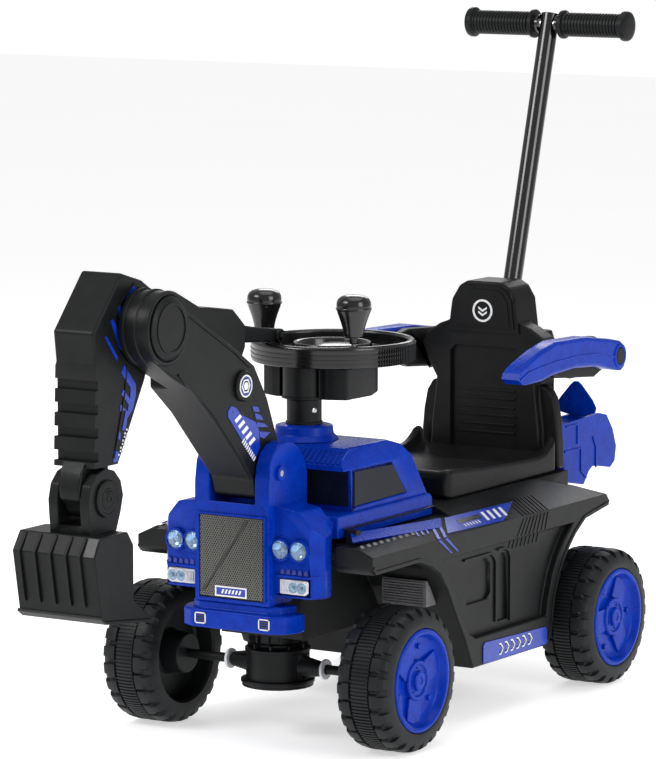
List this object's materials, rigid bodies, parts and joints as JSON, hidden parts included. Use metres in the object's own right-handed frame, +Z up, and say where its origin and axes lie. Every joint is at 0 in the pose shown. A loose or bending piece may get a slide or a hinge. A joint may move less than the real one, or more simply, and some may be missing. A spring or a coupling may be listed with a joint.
{
  "type": "ride on digger",
  "caption": "Ride-on toy digger for a small child, with blue cowl and armrests, black body and seat, front excavator arm, steering console with levers, and a rear push bar.",
  "frame": {"origin": "centre of the whole footprint, on the ground", "axes": "+Z up; the vehicle drives towards -Y and its left side is +X; Y is its length"},
  "size_m": [0.423, 1.132, 0.8776],
  "materials": {
    "blue_plastic": "glossy moulded plastic",
    "black_plastic": "satin moulded plastic",
    "tyre_plastic": "matt blow-moulded plastic",
    "steel": "zinc-plated",
    "tube_paint": "gloss black paint on steel tube",
    "dark_pane": "glossy dark film",
    "lens": "clear moulded lens",
    "white_plastic": "satin",
    "decal_white": "printed film"
  },
  "bodies": {
    "frame": {"body_shell": "black_plastic", "cowl": "blue_plastic", "bumper": "blue_plastic", "grille": "black_plastic", "headlamp_left_outer": "lens", "headlamp_left_inner": "lens", "headlamp_right_outer": "lens", "headlamp_right_inner": "lens", "marker_lamp_left": "lens", "marker_lamp_right": "lens", "window_left": "dark_pane", "window_right": "dark_pane", "seat": "black_plastic", "backrest": "black_plastic", "back_frame": "black_plastic", "armrest_bracket_left": "black_plastic", "armrest_bracket_right": "black_plastic", "armrest_pin_left": "black_plastic", "armrest_pin_right": "black_plastic", "tool_pocket": "blue_plastic", "column_collar": "blue_plastic", "boom_pin": "steel", "rear_axle": "steel"},
    "console": {"steering_column": "black_plastic", "steering_shaft": "steel", "console_box": "black_plastic", "console_tray": "black_plastic"},
    "lever_left": {"lever_rod_left": "steel", "lever_knob_left": "black_plastic"},
    "lever_right": {"lever_rod_right": "steel", "lever_knob_right": "black_plastic"},
    "tie_rod": {"tie_rod": "steel"},
    "front_axle": {"axle_carrier": "black_plastic", "kingpin_crank": "black_plastic", "front_axle": "steel", "axle_washer_left": "white_plastic", "axle_washer_right": "white_plastic"},
    "boom": {"boom": "black_plastic", "elbow_cap": "black_plastic", "elbow_pin": "steel", "link_pin": "steel"},
    "control_link": {"control_link": "black_plastic"},
    "dipper": {"dipper": "black_plastic"},
    "bucket": {"bucket": "black_plastic", "bucket_pin": "black_plastic"},
    "armrest_left": {"armrest_left": "blue_plastic"},
    "armrest_right": {"armrest_right": "blue_plastic"},
    "push_bar": {"push_tube": "tube_paint", "push_crossbar": "steel", "push_grip_left": "black_plastic", "push_grip_right": "black_plastic"},
    "toy_spade": {"toy_spade": "blue_plastic"},
    "wheel_front_left": {"tyre_front_left": "tyre_plastic", "wheel_cap_front_left": "blue_plastic"},
    "wheel_front_right": {"tyre_front_right": "tyre_plastic", "wheel_cap_front_right": "blue_plastic"},
    "wheel_rear_left": {"tyre_rear_left": "tyre_plastic", "wheel_cap_rear_left": "blue_plastic"},
    "wheel_rear_right": {"tyre_rear_right": "tyre_plastic", "wheel_cap_rear_right": "blue_plastic"}
  },
  "joints": [
    {"name": "steering", "type": "hinge", "parent": "frame", "child": "console", "pos_m": [0, -0.086, 0.4], "axis": [0, 0, 1], "range_deg": [-18, 18]},
    {"name": "axle_steer", "type": "hinge", "parent": "frame", "child": "front_axle", "pos_m": [0, -0.148, 0.11], "axis": [0, 0, 1], "range_deg": [-18, 18]},
    {"name": "tie_rod_swing", "type": "hinge", "parent": "console", "child": "tie_rod", "pos_m": [-0.03, -0.086, 0.15], "axis": [0, 0, 1], "range_deg": [-18, 18]},
    {"name": "lever_left_swing", "type": "hinge", "parent": "console", "child": "lever_left", "pos_m": [0.064, -0.072, 0.464], "axis": [-1, 0, 0], "range_deg": [-20, 20]},
    {"name": "lever_right_swing", "type": "hinge", "parent": "console", "child": "lever_right", "pos_m": [-0.068, -0.072, 0.464], "axis": [-1, 0, 0], "range_deg": [-20, 20]},
    {"name": "boom_lift", "type": "hinge", "parent": "frame", "child": "boom", "pos_m": [0, -0.228, 0.345], "axis": [-1, 0, 0], "range_deg": [-12, 10]},
    {"name": "link_swing", "type": "hinge", "parent": "boom", "child": "control_link", "pos_m": [-0.041, -0.236, 0.512], "axis": [-1, 0, 0], "range_deg": [-12, 12]},
    {"name": "dipper_swing", "type": "hinge", "parent": "boom", "child": "dipper", "pos_m": [-0.044, -0.442, 0.543], "axis": [-1, 0, 0], "range_deg": [-15, 40]},
    {"name": "bucket_curl", "type": "hinge", "parent": "dipper", "child": "bucket", "pos_m": [-0.044, -0.509, 0.346], "axis": [-1, 0, 0], "range_deg": [-25, 50]},
    {"name": "armrest_left_fold", "type": "hinge", "parent": "frame", "child": "armrest_left", "pos_m": [0.134, 0.474, 0.421], "axis": [-1, 0, 0], "range_deg": [0, 80]},
    {"name": "armrest_right_fold", "type": "hinge", "parent": "frame", "child": "armrest_right", "pos_m": [-0.134, 0.474, 0.421], "axis": [-1, 0, 0], "range_deg": [0, 80]},
    {"name": "push_bar_lift", "type": "slide", "parent": "frame", "child": "push_bar", "axis": [0, 0.2744, 0.9616], "range_m": [0, 0.08]},
    {"name": "spade_lift", "type": "slide", "parent": "frame", "child": "toy_spade", "axis": [0, 0, 1], "range_m": [0, 0.06]},
    {"name": "wheel_front_left_spin", "type": "hinge", "parent": "front_axle", "child": "wheel_front_left", "pos_m": [0.1735, -0.148, 0.09], "axis": [1, 0, 0], "continuous": true},
    {"name": "wheel_front_right_spin", "type": "hinge", "parent": "front_axle", "child": "wheel_front_right", "pos_m": [-0.1735, -0.148, 0.09], "axis": [1, 0, 0], "continuous": true},
    {"name": "wheel_rear_left_spin", "type": "hinge", "parent": "frame", "child": "wheel_rear_left", "pos_m": [0.1735, 0.358, 0.09], "axis": [1, 0, 0], "continuous": true},
    {"name": "wheel_rear_right_spin", "type": "hinge", "parent": "frame", "child": "wheel_rear_right", "pos_m": [-0.1735, 0.358, 0.09], "axis": [1, 0, 0], "continuous": true}
  ],
  "couplings": [
    {"joint": "axle_steer", "follows": "steering", "ratio": 1},
    {"joint": "tie_rod_swing", "follows": "steering", "ratio": -1},
    {"joint": "link_swing", "follows": "boom_lift", "ratio": -1},
    {"joint": "lever_right_swing", "follows": "boom_lift", "ratio": 1.2}
  ]
}
